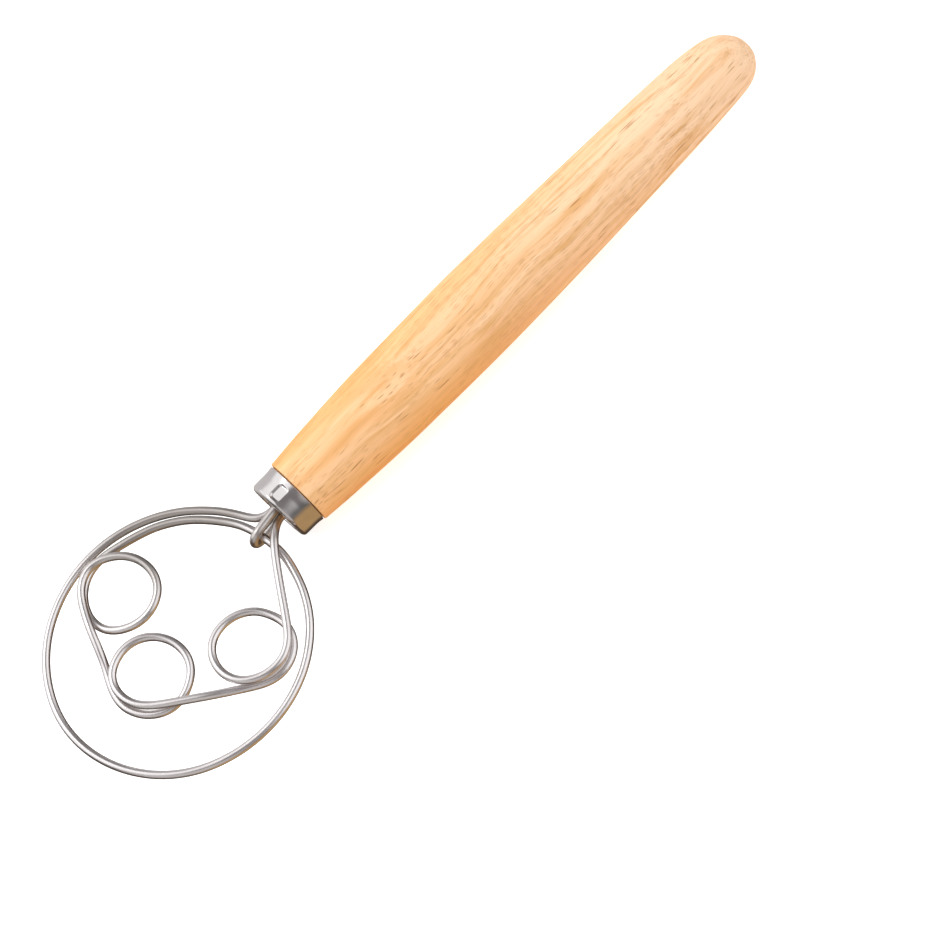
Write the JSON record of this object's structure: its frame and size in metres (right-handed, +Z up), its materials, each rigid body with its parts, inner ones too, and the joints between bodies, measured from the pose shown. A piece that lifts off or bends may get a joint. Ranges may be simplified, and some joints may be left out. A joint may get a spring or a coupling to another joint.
{
  "type": "dough whisk",
  "caption": "Hand dough whisk: a turned wooden handle, a polished steel ferrule and a flat wire head with an outer ring and coiled eyelets, for stirring stiff dough and batter.",
  "frame": {"origin": "centre of the footprint of the whole whisk, at its lowest point, with the handle lying level", "axes": "+X along the handle towards its butt, +Z up out of the face of the wire head, +Y towards the side of the head with the side arc"},
  "size_m": [0.3352, 0.0952, 0.0326],
  "materials": {
    "wood": "smooth sanded pale rubberwood, straight grain with fine dark pores, light satin oil",
    "ferrule_steel": "drawn stainless steel, polished",
    "wire_steel": "stainless steel wire, electropolished",
    "resin": "dark set adhesive"
  },
  "bodies": {
    "root": {"handle": "wood", "ferrule": "ferrule_steel", "resin_plug": "resin", "neck_hook": "wire_steel", "outer_ring": "wire_steel", "side_arc": "wire_steel", "eyelet_upper": "wire_steel", "eyelet_lower": "wire_steel", "eyelet_side": "wire_steel", "straight_link": "wire_steel"}
  },
  "joints": []
}
